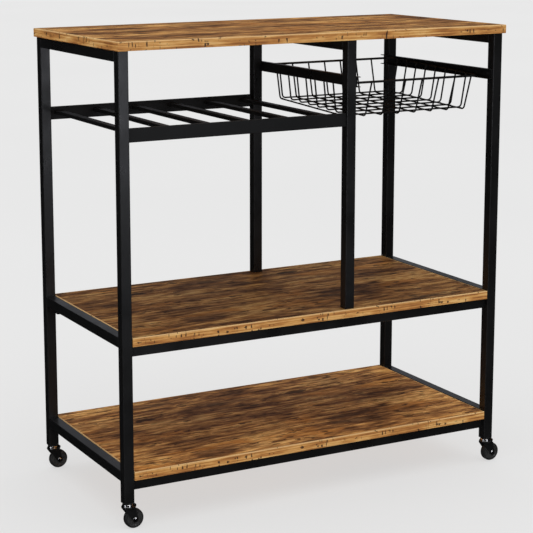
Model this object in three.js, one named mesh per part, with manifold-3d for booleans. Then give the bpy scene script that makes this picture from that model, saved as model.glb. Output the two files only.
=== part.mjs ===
import * as THREE from 'three';
import Module from 'manifold-3d';
import { mergeVertices } from 'three/addons/utils/BufferGeometryUtils.js';

// Three-tier serving cart: black square-tube frame, three boards, a bottle rack, a sliding wire
// basket and four swivel casters. Millimetres, +Z up, +X to the right, +Y to the back.

// Overall frame
const FRAME_LENGTH = 840;
const FRAME_DEPTH = 400;
const TUBE = 20;
const TUBE_WALL = 1.2;
const TUBE_CORNER = 2;
const GAP = 0.3;

// Boards
const BOARD_THICKNESS = 17;
const BOARD_EDGE = 0.8;
const TOP_OVERHANG_END = 3.2;
const TOP_OVERHANG_SIDE = 7.7;
const SHELF_END_GAP = 1.2;
const BOTTOM_SHELF_TOP = 111;
const MIDDLE_SHELF_TOP = 368;
const TOP_BOARD_TOP = 912;

// Rails that carry the shelves
const SHELF_RAIL_SETBACK = 9;

// Middle posts
const POST_RIGHT_FACE = 79.5;
const POST_SETBACK = 3;

// Bottle rack
const RACK_TOP = 755;
const RACK_RAIL_HEIGHT = 26;
const RACK_RAIL_THICKNESS = 6;
const RACK_RAIL_SETBACK = 7;
const SLAT_COUNT = 6;
const SLAT_WIDTH = 15;
const SLAT_HEIGHT = 8;
const SLAT_DROP = 7;
const SLAT_FIRST_X = -382;
const SLAT_LAST_X = 41;

// Basket runners, C channels that open towards the basket
const RUNNER_TOP = 824;
const RUNNER_HEIGHT = 20.5;
const RUNNER_WIDTH = 9.5;
const RUNNER_SHEET = 1.5;

// Wire basket
const RIM_WIRE = 2.1;
const GRID_WIRE = 1.35;
const BASKET_PLAY = 1.5;
const BASKET_DEPTH = 316;
const BASKET_HEIGHT = 70.5;
// The rim's front rests on the lower flanges and its back rides up under the upper ones
const BASKET_RISE = 12.4;
const BASKET_TAPER_SIDE = 9.5;
const SHOULDER_PLAY = 1;
const BASKET_TAPER_FRONT = 20;
const WIRES_EACH_WAY = 8;
const WIRE_BEND = 7;
const RIM_CORNER = 12;
const WELD = 0.5;

// Casters
const LEG_BOTTOM = 52;
const PLUG_FLANGE = 2;
const PLUG_DEPTH = 20;
const STEM_R = 4;
const STEM_TOP = 74;
const STEM_CLEARANCE = 0.35;
const STEM_HEAD_R = 5;
const STEM_HEAD = 1.6;
const RACE_FOOT_R = 9.6;
const RACE_R = 10.7;
const RACE_NECK_R = 8.5;
const FORK_TOP = 42.2;
const FORK_SHEET = 2.2;
const FORK_INSIDE = 16.4;
const DISH_SHIFT = 2.3;
const DISH_FLOOR_R = 12.2;
const DISH_RIM_R = 14.4;
const DISH_RIM_RISE = 2.4;
const DISH_RIM_SLOPE = 0.12;
const WHEEL_R = 19;
const WHEEL_WIDTH = 14;
const WHEEL_OFFSET = 11.5;
const AXLE_R = 2.5;
const AXLE_HEAD_R = 4.2;
const AXLE_HEAD = 1.6;
const AXLE_BOSS_R = 6.2;
const EAR_LEFT = -8.6;
const EAR_RIGHT = 13.7;

const HALF_X = FRAME_LENGTH / 2;
const HALF_Y = FRAME_DEPTH / 2;
const TOP_BOARD_BOTTOM = TOP_BOARD_TOP - BOARD_THICKNESS;
const TUBE_INNER = TUBE - 2 * TUBE_WALL;
const LEG_X = HALF_X - TUBE / 2;
const LEG_Y = HALF_Y - TUBE / 2;

const blackPaint = new THREE.MeshStandardMaterial({
  color: 0x1a1b1d, roughness: 0.48, metalness: 0.35, name: 'black_powder_coat',
});
const board = new THREE.MeshStandardMaterial({
  color: 0x80552e, roughness: 0.62, metalness: 0, name: 'rustic_board',
});
const blackWire = new THREE.MeshStandardMaterial({
  color: 0x141415, roughness: 0.42, metalness: 0.35, name: 'black_wire',
});
const chrome = new THREE.MeshStandardMaterial({
  color: 0xb9bcc0, roughness: 0.18, metalness: 1, name: 'chrome',
});
const wheelPlastic = new THREE.MeshStandardMaterial({
  color: 0x101011, roughness: 0.28, metalness: 0, name: 'wheel_plastic',
});
const plugPlastic = new THREE.MeshStandardMaterial({
  color: 0x18181a, roughness: 0.6, metalness: 0, name: 'plug_plastic',
});
const forkPaint = new THREE.MeshStandardMaterial({
  color: 0x121213, roughness: 0.35, metalness: 0.4, name: 'fork_black',
});

const cart = new THREE.Group();
cart.name = 'bar_cart';

function add(name, geometry, material) {
  const mesh = new THREE.Mesh(geometry, material);
  mesh.name = name;
  cart.add(mesh);
}

// ---- Joining and cutting ----

const wasm = await Module();
wasm.setup();

function toSolid(geometry) {
  const bare = new THREE.BufferGeometry();
  bare.setAttribute('position', geometry.getAttribute('position').clone());
  if (geometry.index) {
    bare.setIndex(geometry.index.clone());
  }
  const merged = mergeVertices(bare, 1e-4);
  return new wasm.Manifold(new wasm.Mesh({
    numProp: 3,
    vertProperties: new Float32Array(merged.getAttribute('position').array),
    triVerts: new Uint32Array(merged.index.array),
  }));
}

function toGeometry(solid) {
  const mesh = solid.getMesh();
  const geometry = new THREE.BufferGeometry();
  geometry.setAttribute('position', new THREE.BufferAttribute(mesh.vertProperties, 3));
  geometry.setIndex(new THREE.BufferAttribute(mesh.triVerts, 1));
  return geometry;
}

function join(geometries) {
  let solid = toSolid(geometries[0]);
  for (const geometry of geometries.slice(1)) {
    solid = solid.add(toSolid(geometry));
  }
  return toGeometry(solid);
}

// ---- Shapes ----

// A rectangle about the origin with rounded corners.
function roundedRectangle(width, height, radius, target = new THREE.Shape()) {
  const x = width / 2;
  const y = height / 2;
  target.moveTo(x - radius, -y);
  target.absarc(x - radius, -y + radius, radius, -Math.PI / 2, 0, false);
  target.absarc(x - radius, y - radius, radius, 0, Math.PI / 2, false);
  target.absarc(-x + radius, y - radius, radius, Math.PI / 2, Math.PI, false);
  target.absarc(-x + radius, -y + radius, radius, Math.PI, Math.PI * 1.5, false);
  target.closePath();
  return target;
}

function plainRectangle(width, height, target = new THREE.Path()) {
  target.moveTo(-width / 2, -height / 2);
  target.lineTo(-width / 2, height / 2);
  target.lineTo(width / 2, height / 2);
  target.lineTo(width / 2, -height / 2);
  target.closePath();
  return target;
}

// Turns a profile drawn in XY and extruded along +Z so that it runs along the named axis.
function along(geometry, axis) {
  if (axis === 'x') {
    geometry.rotateY(Math.PI / 2);
  }
  if (axis === 'y') {
    geometry.rotateX(-Math.PI / 2);
  }
  return geometry;
}

// Open-ended square tube from `start`, `length` long on one axis, its middle line at the point given.
function squareTube(axis, start, length, centre) {
  const profile = roundedRectangle(TUBE, TUBE, TUBE_CORNER);
  profile.holes.push(plainRectangle(TUBE_INNER, TUBE_INNER));
  const tube = new THREE.ExtrudeGeometry(profile, {
    depth: length, bevelEnabled: false, curveSegments: 1,
  });
  along(tube, axis);
  const place = { x: centre[0], y: centre[1], z: centre[2] };
  place[axis] = start;
  tube.translate(place.x, place.y, place.z);
  return tube;
}

function box(x0, x1, y0, y1, z0, z1) {
  const block = new THREE.BoxGeometry(x1 - x0, y1 - y0, z1 - z0);
  block.translate((x0 + x1) / 2, (y0 + y1) / 2, (z0 + z1) / 2);
  return block;
}

// A bar of rounded rectangular section that runs on one axis.
function flatBar(axis, start, length, sizes, centre, radius) {
  const profile = roundedRectangle(sizes[0], sizes[1], radius);
  const bar = new THREE.ExtrudeGeometry(profile, {
    depth: length, bevelEnabled: false, curveSegments: 1,
  });
  along(bar, axis);
  const place = { x: centre[0], y: centre[1], z: centre[2] };
  place[axis] = start;
  bar.translate(place.x, place.y, place.z);
  return bar;
}

function panel(x0, x1, y0, y1, top) {
  const profile = roundedRectangle(x1 - x0 - 2 * BOARD_EDGE, y1 - y0 - 2 * BOARD_EDGE, 1);
  const slab = new THREE.ExtrudeGeometry(profile, {
    depth: BOARD_THICKNESS - 2 * BOARD_EDGE,
    bevelEnabled: true,
    bevelThickness: BOARD_EDGE,
    bevelSize: BOARD_EDGE,
    bevelSegments: 1,
    curveSegments: 1,
  });
  slab.translate((x0 + x1) / 2, (y0 + y1) / 2, top - BOARD_THICKNESS + BOARD_EDGE);
  return slab;
}

// A path through points, stepped point by point, for bent wire.
class BentPath extends THREE.Curve {
  constructor(points) {
    super();
    this.points = points;
  }

  getPoint(t, target = new THREE.Vector3()) {
    const position = t * (this.points.length - 1);
    const index = Math.min(Math.floor(position), this.points.length - 2);
    return target.lerpVectors(this.points[index], this.points[index + 1], position - index);
  }

  getUtoTmapping(u) {
    return u;
  }
}

// Replaces each inner corner of a polyline by a short bend.
function bend(corners, radius, steps) {
  const points = [corners[0].clone()];
  for (let i = 1; i < corners.length - 1; i += 1) {
    const before = corners[i - 1].clone().sub(corners[i]);
    const after = corners[i + 1].clone().sub(corners[i]);
    const reach = Math.min(radius, 0.45 * before.length(), 0.45 * after.length());
    const from = corners[i].clone().addScaledVector(before.normalize(), reach);
    const to = corners[i].clone().addScaledVector(after.normalize(), reach);
    const arc = new THREE.QuadraticBezierCurve3(from, corners[i], to);
    points.push(...arc.getPoints(steps));
  }
  points.push(corners[corners.length - 1].clone());
  return points;
}

function wire(corners, radius, bendRadius, steps, sides) {
  const points = bend(corners, bendRadius, steps);
  const section = new THREE.Shape();
  for (let i = 0; i < sides; i += 1) {
    const angle = ((i + 0.5) / sides) * Math.PI * 2;
    const x = radius * Math.cos(angle);
    const y = radius * Math.sin(angle);
    if (i === 0) {
      section.moveTo(x, y);
    } else {
      section.lineTo(x, y);
    }
  }
  section.closePath();
  return new THREE.ExtrudeGeometry(section, {
    steps: points.length - 1, extrudePath: new BentPath(points), bevelEnabled: false,
  });
}

// ---- Boards ----

add('top_board', panel(
  -HALF_X - TOP_OVERHANG_END, HALF_X + TOP_OVERHANG_END,
  -HALF_Y - TOP_OVERHANG_SIDE, HALF_Y + TOP_OVERHANG_SIDE, TOP_BOARD_TOP,
), board);

const shelfHalf = HALF_X - TUBE - SHELF_END_GAP;
const SHELVES = [['middle', MIDDLE_SHELF_TOP], ['bottom', BOTTOM_SHELF_TOP]];
for (const [level, top] of SHELVES) {
  add(`${level}_shelf_board`, panel(-shelfHalf, shelfHalf, -HALF_Y, HALF_Y, top), board);
}

// ---- Legs, side rails and shelf rails ----

const CORNERS = [
  ['front_left', -1, -1],
  ['front_right', 1, -1],
  ['back_left', -1, 1],
  ['back_right', 1, 1],
];
const legLength = TOP_BOARD_BOTTOM - GAP - LEG_BOTTOM - GAP;
for (const [corner, sx, sy] of CORNERS) {
  const centre = [sx * LEG_X, sy * LEG_Y, 0];
  add(`leg_${corner}`, squareTube('z', LEG_BOTTOM + GAP, legLength, centre), blackPaint);
}

const sideRailLength = FRAME_DEPTH - 2 * TUBE - 2 * GAP;
const sideRailStart = -sideRailLength / 2;
const SIDE_RAILS = [
  ['top', TOP_BOARD_BOTTOM - GAP - TUBE / 2],
  ['middle', MIDDLE_SHELF_TOP - TUBE / 2],
  ['bottom', BOTTOM_SHELF_TOP - TUBE / 2],
];
for (const [side, sx] of [['left', -1], ['right', 1]]) {
  for (const [level, z] of SIDE_RAILS) {
    const rail = squareTube('y', sideRailStart, sideRailLength, [sx * LEG_X, 0, z]);
    add(`${level}_side_rail_${side}`, rail, blackPaint);
  }
}

const shelfRailLength = FRAME_LENGTH - 2 * TUBE - 2 * GAP;
for (const [side, sy] of [['front', -1], ['back', 1]]) {
  const y = sy * (HALF_Y - SHELF_RAIL_SETBACK - TUBE / 2);
  for (const [level, top] of SHELVES) {
    const z = top - BOARD_THICKNESS - GAP - TUBE / 2;
    const rail = squareTube('x', -shelfRailLength / 2, shelfRailLength, [0, y, z]);
    add(`${level}_shelf_rail_${side}`, rail, blackPaint);
  }
}

// ---- Middle posts and the rail between their heads ----

const postX = POST_RIGHT_FACE - TUBE / 2;
const postY = HALF_Y - POST_SETBACK - TUBE / 2;
const postLength = TOP_BOARD_BOTTOM - GAP - MIDDLE_SHELF_TOP - GAP;
for (const [side, sy] of [['front', -1], ['back', 1]]) {
  const post = squareTube('z', MIDDLE_SHELF_TOP + GAP, postLength, [postX, sy * postY, 0]);
  add(`post_${side}`, post, blackPaint);
}
const postRailLength = 2 * postY - TUBE - 2 * GAP;
const postRailCentre = [postX, 0, TOP_BOARD_BOTTOM - GAP - TUBE / 2];
add('top_post_rail', squareTube('y', -postRailLength / 2, postRailLength, postRailCentre), blackPaint);

// ---- Bottle rack ----

const rackStart = -HALF_X + TUBE + GAP;
const rackLength = POST_RIGHT_FACE - TUBE - GAP - rackStart;
const rackY = HALF_Y - RACK_RAIL_SETBACK - RACK_RAIL_THICKNESS / 2;
for (const [side, sy] of [['front', -1], ['back', 1]]) {
  const centre = [0, sy * rackY, RACK_TOP - RACK_RAIL_HEIGHT / 2];
  const sizes = [RACK_RAIL_HEIGHT, RACK_RAIL_THICKNESS];
  add(`bottle_rail_${side}`, flatBar('x', rackStart, rackLength, sizes, centre, 1), blackPaint);
}
const slatLength = 2 * (rackY - RACK_RAIL_THICKNESS / 2 - GAP);
const slatPitch = (SLAT_LAST_X - SLAT_FIRST_X) / (SLAT_COUNT - 1);
for (let i = 0; i < SLAT_COUNT; i += 1) {
  const centre = [SLAT_FIRST_X + i * slatPitch, 0, RACK_TOP - SLAT_DROP - SLAT_HEIGHT / 2];
  const sizes = [SLAT_WIDTH, SLAT_HEIGHT];
  const slat = flatBar('y', -slatLength / 2, slatLength, sizes, centre, 1);
  add(`bottle_slat_${i + 1}`, slat, blackPaint);
}

// ---- Basket runners ----

const runnerHalf = HALF_Y - POST_SETBACK;
// The channel's section, its web at x = 0 and its flanges reaching towards +X.
function runner(webFace, opensTo) {
  const section = new THREE.Shape();
  const top = RUNNER_TOP;
  const bottom = RUNNER_TOP - RUNNER_HEIGHT;
  section.moveTo(0, bottom);
  section.lineTo(RUNNER_WIDTH, bottom);
  section.lineTo(RUNNER_WIDTH, bottom + RUNNER_SHEET);
  section.lineTo(RUNNER_SHEET, bottom + RUNNER_SHEET);
  section.lineTo(RUNNER_SHEET, top - RUNNER_SHEET);
  section.lineTo(RUNNER_WIDTH, top - RUNNER_SHEET);
  section.lineTo(RUNNER_WIDTH, top);
  section.lineTo(0, top);
  section.closePath();
  const channel = new THREE.ExtrudeGeometry(section, {
    depth: 2 * runnerHalf, bevelEnabled: false,
  });
  channel.rotateX(Math.PI / 2);
  channel.translate(0, runnerHalf, 0);
  if (opensTo < 0) {
    channel.rotateZ(Math.PI);
  }
  channel.translate(webFace, 0, 0);
  return channel;
}
const leftWeb = POST_RIGHT_FACE + GAP;
const rightWeb = HALF_X - TUBE - GAP;
add('basket_runner_left', runner(leftWeb, 1), blackPaint);
add('basket_runner_right', runner(rightWeb, -1), blackPaint);

// ---- Wire basket ----

const rimZ = RUNNER_TOP - RUNNER_HEIGHT + RUNNER_SHEET + GAP + RIM_WIRE;
const rimLeft = leftWeb + RUNNER_SHEET + BASKET_PLAY + RIM_WIRE;
const rimRight = rightWeb - RUNNER_SHEET - BASKET_PLAY - RIM_WIRE;
const rimY = BASKET_DEPTH / 2 - RIM_WIRE;
const upperFloorZ = rimZ - BASKET_HEIGHT + 2 * GRID_WIRE - WELD;
const lowerFloorZ = rimZ - BASKET_HEIGHT;
const shoulderLeft = leftWeb + RUNNER_WIDTH + SHOULDER_PLAY + GRID_WIRE;
const shoulderRight = rightWeb - RUNNER_WIDTH - SHOULDER_PLAY - GRID_WIRE;
const floorLeft = shoulderLeft + BASKET_TAPER_SIDE;
const floorRight = shoulderRight - BASKET_TAPER_SIDE;
const floorY = rimY - BASKET_TAPER_FRONT;

function point(x, y, z) {
  return new THREE.Vector3(x, y, z);
}

const basketWires = [];
const rimMiddle = (rimLeft + rimRight) / 2;
for (const [x, overlap] of [[rimLeft, WELD], [rimRight, -WELD]]) {
  const corners = [
    point(rimMiddle + overlap, -rimY, rimZ),
    point(x, -rimY, rimZ),
    point(x, rimY, rimZ),
    point(rimMiddle + overlap, rimY, rimZ),
  ];
  basketWires.push(wire(corners, RIM_WIRE, RIM_CORNER, 3, 8));
}
for (let i = 0; i < WIRES_EACH_WAY; i += 1) {
  const share = i / (WIRES_EACH_WAY - 1);
  const x = floorLeft + share * (floorRight - floorLeft);
  const frontToBack = [
    point(x, -rimY, rimZ),
    point(x, -floorY, lowerFloorZ),
    point(x, floorY, lowerFloorZ),
    point(x, rimY, rimZ),
  ];
  basketWires.push(wire(frontToBack, GRID_WIRE, WIRE_BEND, 2, 6));
  const reach = floorY - WIRE_BEND - 2 * GRID_WIRE;
  const y = -reach + share * 2 * reach;
  const sideToSide = [
    point(rimLeft, y, rimZ),
    point(shoulderLeft, y, rimZ),
    point(floorLeft, y, upperFloorZ),
    point(floorRight, y, upperFloorZ),
    point(shoulderRight, y, rimZ),
    point(rimRight, y, rimZ),
  ];
  basketWires.push(wire(sideToSide, GRID_WIRE, WIRE_BEND, 2, 6));
}
const basket = join(basketWires);
basket.translate(0, rimY, -rimZ);
basket.rotateX(Math.asin(BASKET_RISE / (2 * rimY)));
basket.translate(0, -rimY, rimZ);
add('wire_basket', basket, blackWire);

// ---- Casters ----

function lathe(profile, sides, axis, centre) {
  const points = profile.map(([radius, height]) => new THREE.Vector2(radius, height));
  const turned = new THREE.LatheGeometry(points, sides);
  if (axis === 'z') {
    turned.rotateX(Math.PI / 2);
  }
  turned.translate(centre[0], centre[1], centre[2]);
  return turned;
}

function circleHole(x, y, radius) {
  const hole = new THREE.Path();
  hole.absarc(x, y, radius, 0, Math.PI * 2, true);
  return hole;
}

// Plastic plug in the foot of a leg, bored for the caster's stem.
function plug(x, y) {
  const layers = [
    [TUBE, LEG_BOTTOM - PLUG_FLANGE, PLUG_FLANGE],
    [TUBE_INNER - 2 * GAP, LEG_BOTTOM - PLUG_FLANGE, PLUG_DEPTH + PLUG_FLANGE],
  ];
  const pieces = [];
  for (const [width, base, height] of layers) {
    const outline = roundedRectangle(width, width, TUBE_CORNER);
    outline.holes.push(circleHole(0, 0, STEM_R + STEM_CLEARANCE));
    const layer = new THREE.ExtrudeGeometry(outline, {
      depth: height, bevelEnabled: false, curveSegments: 4,
    });
    layer.translate(x, y, base);
    pieces.push(layer);
  }
  return join(pieces);
}

// Chromed stem with its ball race below the plug and a rivet head under the fork.
function stem(x, y) {
  const raceBottom = FORK_TOP + GAP;
  const raceTop = LEG_BOTTOM - PLUG_FLANGE - GAP;
  const headTop = FORK_TOP - FORK_SHEET - GAP;
  const headBottom = headTop - STEM_HEAD;
  const profile = [
    [0, headBottom],
    [STEM_HEAD_R, headBottom],
    [STEM_HEAD_R, headTop],
    [STEM_R, headTop],
    [STEM_R, raceBottom],
    [RACE_FOOT_R, raceBottom],
    [RACE_R, raceBottom + 0.9],
    [RACE_R, raceTop - 2.2],
    [RACE_NECK_R, raceTop],
    [STEM_R, raceTop],
    [STEM_R, STEM_TOP],
    [0, STEM_TOP],
  ];
  return lathe(profile, 20, 'z', [x, y, 0]);
}

// Round dish on top of the fork. Its rim is higher on the side where the wheel trails.
function dish(x, y) {
  const bottom = FORK_TOP - FORK_SHEET;
  const rimTop = FORK_TOP + DISH_RIM_RISE;
  const profile = [
    [0, bottom],
    [DISH_FLOOR_R + 0.4, bottom],
    [DISH_RIM_R, rimTop - 1],
    [DISH_RIM_R, rimTop],
    [DISH_RIM_R - 1, rimTop],
    [DISH_FLOOR_R, FORK_TOP],
    [0, FORK_TOP],
  ];
  const turned = lathe(profile, 24, 'z', [0, 0, 0]);
  const position = turned.getAttribute('position');
  for (let i = 0; i < position.count; i += 1) {
    if (position.getZ(i) > FORK_TOP + GAP) {
      position.setZ(i, position.getZ(i) + DISH_RIM_SLOPE * position.getX(i));
    }
  }
  turned.translate(x + DISH_SHIFT, y, 0);
  return turned;
}

// Fork: the dish, bored for the stem, with an ear down each side of the wheel.
function fork(x, y) {
  const bore = new THREE.CylinderGeometry(
    STEM_R + STEM_CLEARANCE, STEM_R + STEM_CLEARANCE, FORK_SHEET * 3, 16,
  );
  bore.rotateX(Math.PI / 2);
  bore.translate(x, y, FORK_TOP);
  const pieces = [toGeometry(toSolid(dish(x, y)).subtract(toSolid(bore)))];
  for (const side of [-1, 1]) {
    const ear = new THREE.Shape();
    const boss = AXLE_BOSS_R;
    ear.moveTo(EAR_LEFT, FORK_TOP - 1);
    ear.lineTo(EAR_LEFT, FORK_TOP - 4);
    ear.lineTo(WHEEL_OFFSET - boss, WHEEL_R);
    ear.absarc(WHEEL_OFFSET, WHEEL_R, boss, Math.PI, Math.PI * 2, false);
    ear.lineTo(EAR_RIGHT, FORK_TOP - 9);
    ear.lineTo(EAR_RIGHT, FORK_TOP - 1);
    ear.closePath();
    ear.holes.push(circleHole(WHEEL_OFFSET, WHEEL_R, AXLE_R + GAP));
    const sheet = new THREE.ExtrudeGeometry(ear, {
      depth: FORK_SHEET, bevelEnabled: false, curveSegments: 5,
    });
    sheet.rotateX(Math.PI / 2);
    const inner = side * (FORK_INSIDE / 2);
    sheet.translate(x, y + (side > 0 ? inner + FORK_SHEET : inner), 0);
    pieces.push(sheet);
  }
  return join(pieces);
}

function wheel(x, y) {
  const half = WHEEL_WIDTH / 2;
  const bore = AXLE_R + GAP;
  const profile = [
    [bore, -half - 0.7],
    [6, -half - 0.7],
    [6.6, -half + 1],
    [12.8, -half + 1],
    [13.5, -half],
    [WHEEL_R - 2.4, -half],
    [WHEEL_R, -half + 2.4],
    [WHEEL_R, half - 2.4],
    [WHEEL_R - 2.4, half],
    [13.5, half],
    [12.8, half - 1],
    [6.6, half - 1],
    [6, half + 0.7],
    [bore, half + 0.7],
    [bore, -half - 0.7],
  ];
  return lathe(profile, 24, 'y', [x + WHEEL_OFFSET, y, WHEEL_R]);
}

// Axle rivet through both ears, with a domed head outside each.
function axle(x, y) {
  const inner = FORK_INSIDE / 2 + FORK_SHEET + GAP;
  const profile = [
    [0, -inner - AXLE_HEAD],
    [AXLE_HEAD_R - 1, -inner - AXLE_HEAD],
    [AXLE_HEAD_R, -inner - AXLE_HEAD + 0.8],
    [AXLE_HEAD_R, -inner],
    [AXLE_R, -inner],
    [AXLE_R, inner],
    [AXLE_HEAD_R, inner],
    [AXLE_HEAD_R, inner + AXLE_HEAD - 0.8],
    [AXLE_HEAD_R - 1, inner + AXLE_HEAD],
    [0, inner + AXLE_HEAD],
  ];
  return lathe(profile, 12, 'y', [x + WHEEL_OFFSET, y, WHEEL_R]);
}

for (const [corner, sx, sy] of CORNERS) {
  const x = sx * LEG_X;
  const y = sy * LEG_Y;
  add(`leg_plug_${corner}`, plug(x, y), plugPlastic);
  add(`caster_stem_${corner}`, stem(x, y), chrome);
  add(`caster_fork_${corner}`, fork(x, y), forkPaint);
  add(`caster_axle_${corner}`, axle(x, y), chrome);
  add(`caster_wheel_${corner}`, wheel(x, y), wheelPlastic);
}

// The wheels trail to the right, so the whole cart is moved to sit centred on its own outline.
const leftmost = -HALF_X - TOP_OVERHANG_END;
const rightmost = LEG_X + WHEEL_OFFSET + WHEEL_R;
cart.position.x = -(leftmost + rightmost) / 2;

export default cart;
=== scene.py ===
"""Looks of the bar cart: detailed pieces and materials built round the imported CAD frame, in metres."""

import math

import bmesh
import bpy
from mathutils import Matrix, Vector


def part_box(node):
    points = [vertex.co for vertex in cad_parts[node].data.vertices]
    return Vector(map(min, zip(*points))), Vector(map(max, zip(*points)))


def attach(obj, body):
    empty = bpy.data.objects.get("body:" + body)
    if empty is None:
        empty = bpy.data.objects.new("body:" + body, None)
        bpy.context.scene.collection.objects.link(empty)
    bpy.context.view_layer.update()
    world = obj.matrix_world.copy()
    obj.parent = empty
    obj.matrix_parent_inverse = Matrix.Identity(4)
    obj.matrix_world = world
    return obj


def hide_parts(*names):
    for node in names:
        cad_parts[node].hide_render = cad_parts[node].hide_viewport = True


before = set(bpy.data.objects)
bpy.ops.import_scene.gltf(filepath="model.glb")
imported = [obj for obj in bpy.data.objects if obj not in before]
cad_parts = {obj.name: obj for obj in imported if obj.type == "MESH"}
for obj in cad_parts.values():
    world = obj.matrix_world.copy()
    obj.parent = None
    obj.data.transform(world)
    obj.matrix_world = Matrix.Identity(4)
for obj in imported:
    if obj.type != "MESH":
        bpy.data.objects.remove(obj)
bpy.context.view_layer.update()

MM = 0.001
CORNERS = ("front_left", "front_right", "back_left", "back_right")
SIDES = ("left", "right")
ENDS = ("front", "back")

# Square tube
TUBE_WALL = 1.2 * MM
TUBE_CORNER = 1.2 * MM
TUBE_INNER_CORNER = 0.5 * MM
END_CHAMFER = 0.25 * MM
JOINT_GAP = 0.3 * MM
WELD_RADIUS = 1.0 * MM

# Boards
BAND_THICKNESS = 2.0 * MM
BAND_ROUND = 1.3 * MM
BAND_SEAM = 0.06 * MM
CORE_CHAMFER = 0.2 * MM

# Basket and runners
RUNNER_SHEET = 1.5 * MM
RIM_WIRE = 2.4 * MM
GRID_WIRE = 1.65 * MM
SHOULDER_PLAY = 1.0 * MM
BASKET_HEIGHT = 70.5 * MM
BASKET_RISE = 12.4 * MM
RIM_CLEARANCE = 0.1 * MM
BASKET_TAPER_SIDE = 9.5 * MM
BASKET_TAPER_FRONT = 20.0 * MM
WIRES_EACH_WAY = 8
WIRE_BEND = 7.0 * MM
RIM_CORNER = 12.0 * MM
WIRE_WELD = 0.5 * MM

# ---- Colours ----

def linear(red, green, blue):
    """A display colour, 0 to 255, as the linear colour that shaders take."""
    def channel(value):
        value /= 255
        return value / 12.92 if value <= 0.04045 else ((value + 0.055) / 1.055) ** 2.4
    return (channel(red), channel(green), channel(blue), 1.0)


# ---- Node materials ----

class Graph:
    """A material's node tree, with short calls for the few kinds of node used here."""

    def __init__(self, name, **shader_values):
        self.material = bpy.data.materials.new(name)
        self.material.use_nodes = True
        self.tree = self.material.node_tree
        self.tree.nodes.clear()
        self.shader = self.tree.nodes.new("ShaderNodeBsdfPrincipled")
        output = self.tree.nodes.new("ShaderNodeOutputMaterial")
        self.tree.links.new(self.shader.outputs[0], output.inputs["Surface"])
        for key, value in shader_values.items():
            self.shader.inputs[key.replace("_", " ").title().replace("Ior", "IOR")].default_value = value

    def link(self, source, target):
        if hasattr(source, "is_output"):
            self.tree.links.new(source, target)
        else:
            target.default_value = source

    def coordinates(self):
        return self.tree.nodes.new("ShaderNodeTexCoord").outputs["Object"]

    def mapping(self, vector, scale=(1, 1, 1), location=(0, 0, 0)):
        node = self.tree.nodes.new("ShaderNodeMapping")
        self.link(vector, node.inputs["Vector"])
        node.inputs["Scale"].default_value = scale
        node.inputs["Location"].default_value = location
        return node.outputs[0]

    def noise(self, vector, scale, detail=2.0, roughness=0.5, distortion=0.0):
        node = self.tree.nodes.new("ShaderNodeTexNoise")
        self.link(vector, node.inputs["Vector"])
        node.inputs["Scale"].default_value = scale
        node.inputs["Detail"].default_value = detail
        node.inputs["Roughness"].default_value = roughness
        node.inputs["Distortion"].default_value = distortion
        return node.outputs["Fac"]

    def voronoi(self, vector, scale, randomness=1.0):
        node = self.tree.nodes.new("ShaderNodeTexVoronoi")
        self.link(vector, node.inputs["Vector"])
        node.inputs["Scale"].default_value = scale
        node.inputs["Randomness"].default_value = randomness
        return node.outputs["Distance"], node.outputs["Color"]

    def math(self, operation, first, second=0.0, third=0.0):
        node = self.tree.nodes.new("ShaderNodeMath")
        node.operation = operation
        for socket, value in zip(node.inputs, (first, second, third)):
            self.link(value, socket)
        return node.outputs[0]

    def steps(self, factor, low, high, to_low=0.0, to_high=1.0):
        """factor between low and high, eased and clamped, as a number between to_low and to_high."""
        node = self.tree.nodes.new("ShaderNodeMapRange")
        node.interpolation_type = "SMOOTHSTEP"
        for key, value in (("Value", factor), ("From Min", low), ("From Max", high),
                           ("To Min", to_low), ("To Max", to_high)):
            self.link(value, node.inputs[key])
        return node.outputs[0]

    def ramp(self, factor, stops):
        node = self.tree.nodes.new("ShaderNodeValToRGB")
        self.link(factor, node.inputs[0])
        elements = node.color_ramp.elements
        while len(elements) < len(stops):
            elements.new(0.5)
        for element, (position, colour) in zip(elements, stops):
            element.position = position
            element.color = colour
        return node.outputs[0]

    def mix(self, factor, first, second, blend="MIX"):
        node = self.tree.nodes.new("ShaderNodeMix")
        node.data_type = "RGBA"
        node.blend_type = blend
        self.link(factor, node.inputs[0])
        self.link(first, node.inputs[6])
        self.link(second, node.inputs[7])
        return node.outputs[2]

    def attribute(self, name):
        node = self.tree.nodes.new("ShaderNodeAttribute")
        node.attribute_name = name
        return node.outputs["Fac"]

    def combine(self, x, y, z):
        node = self.tree.nodes.new("ShaderNodeCombineXYZ")
        for socket, value in zip(node.inputs, (x, y, z)):
            self.link(value, socket)
        return node.outputs[0]

    def separate(self, vector):
        node = self.tree.nodes.new("ShaderNodeSeparateXYZ")
        self.link(vector, node.inputs[0])
        return node.outputs

    def bump(self, height, distance, strength=1.0):
        node = self.tree.nodes.new("ShaderNodeBump")
        node.inputs["Strength"].default_value = strength
        node.inputs["Distance"].default_value = distance
        self.link(height, node.inputs["Height"])
        self.link(node.outputs[0], self.shader.inputs["Normal"])

    def colour(self, value):
        self.link(value, self.shader.inputs["Base Color"])

    def roughness(self, value):
        self.link(value, self.shader.inputs["Roughness"])


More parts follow.
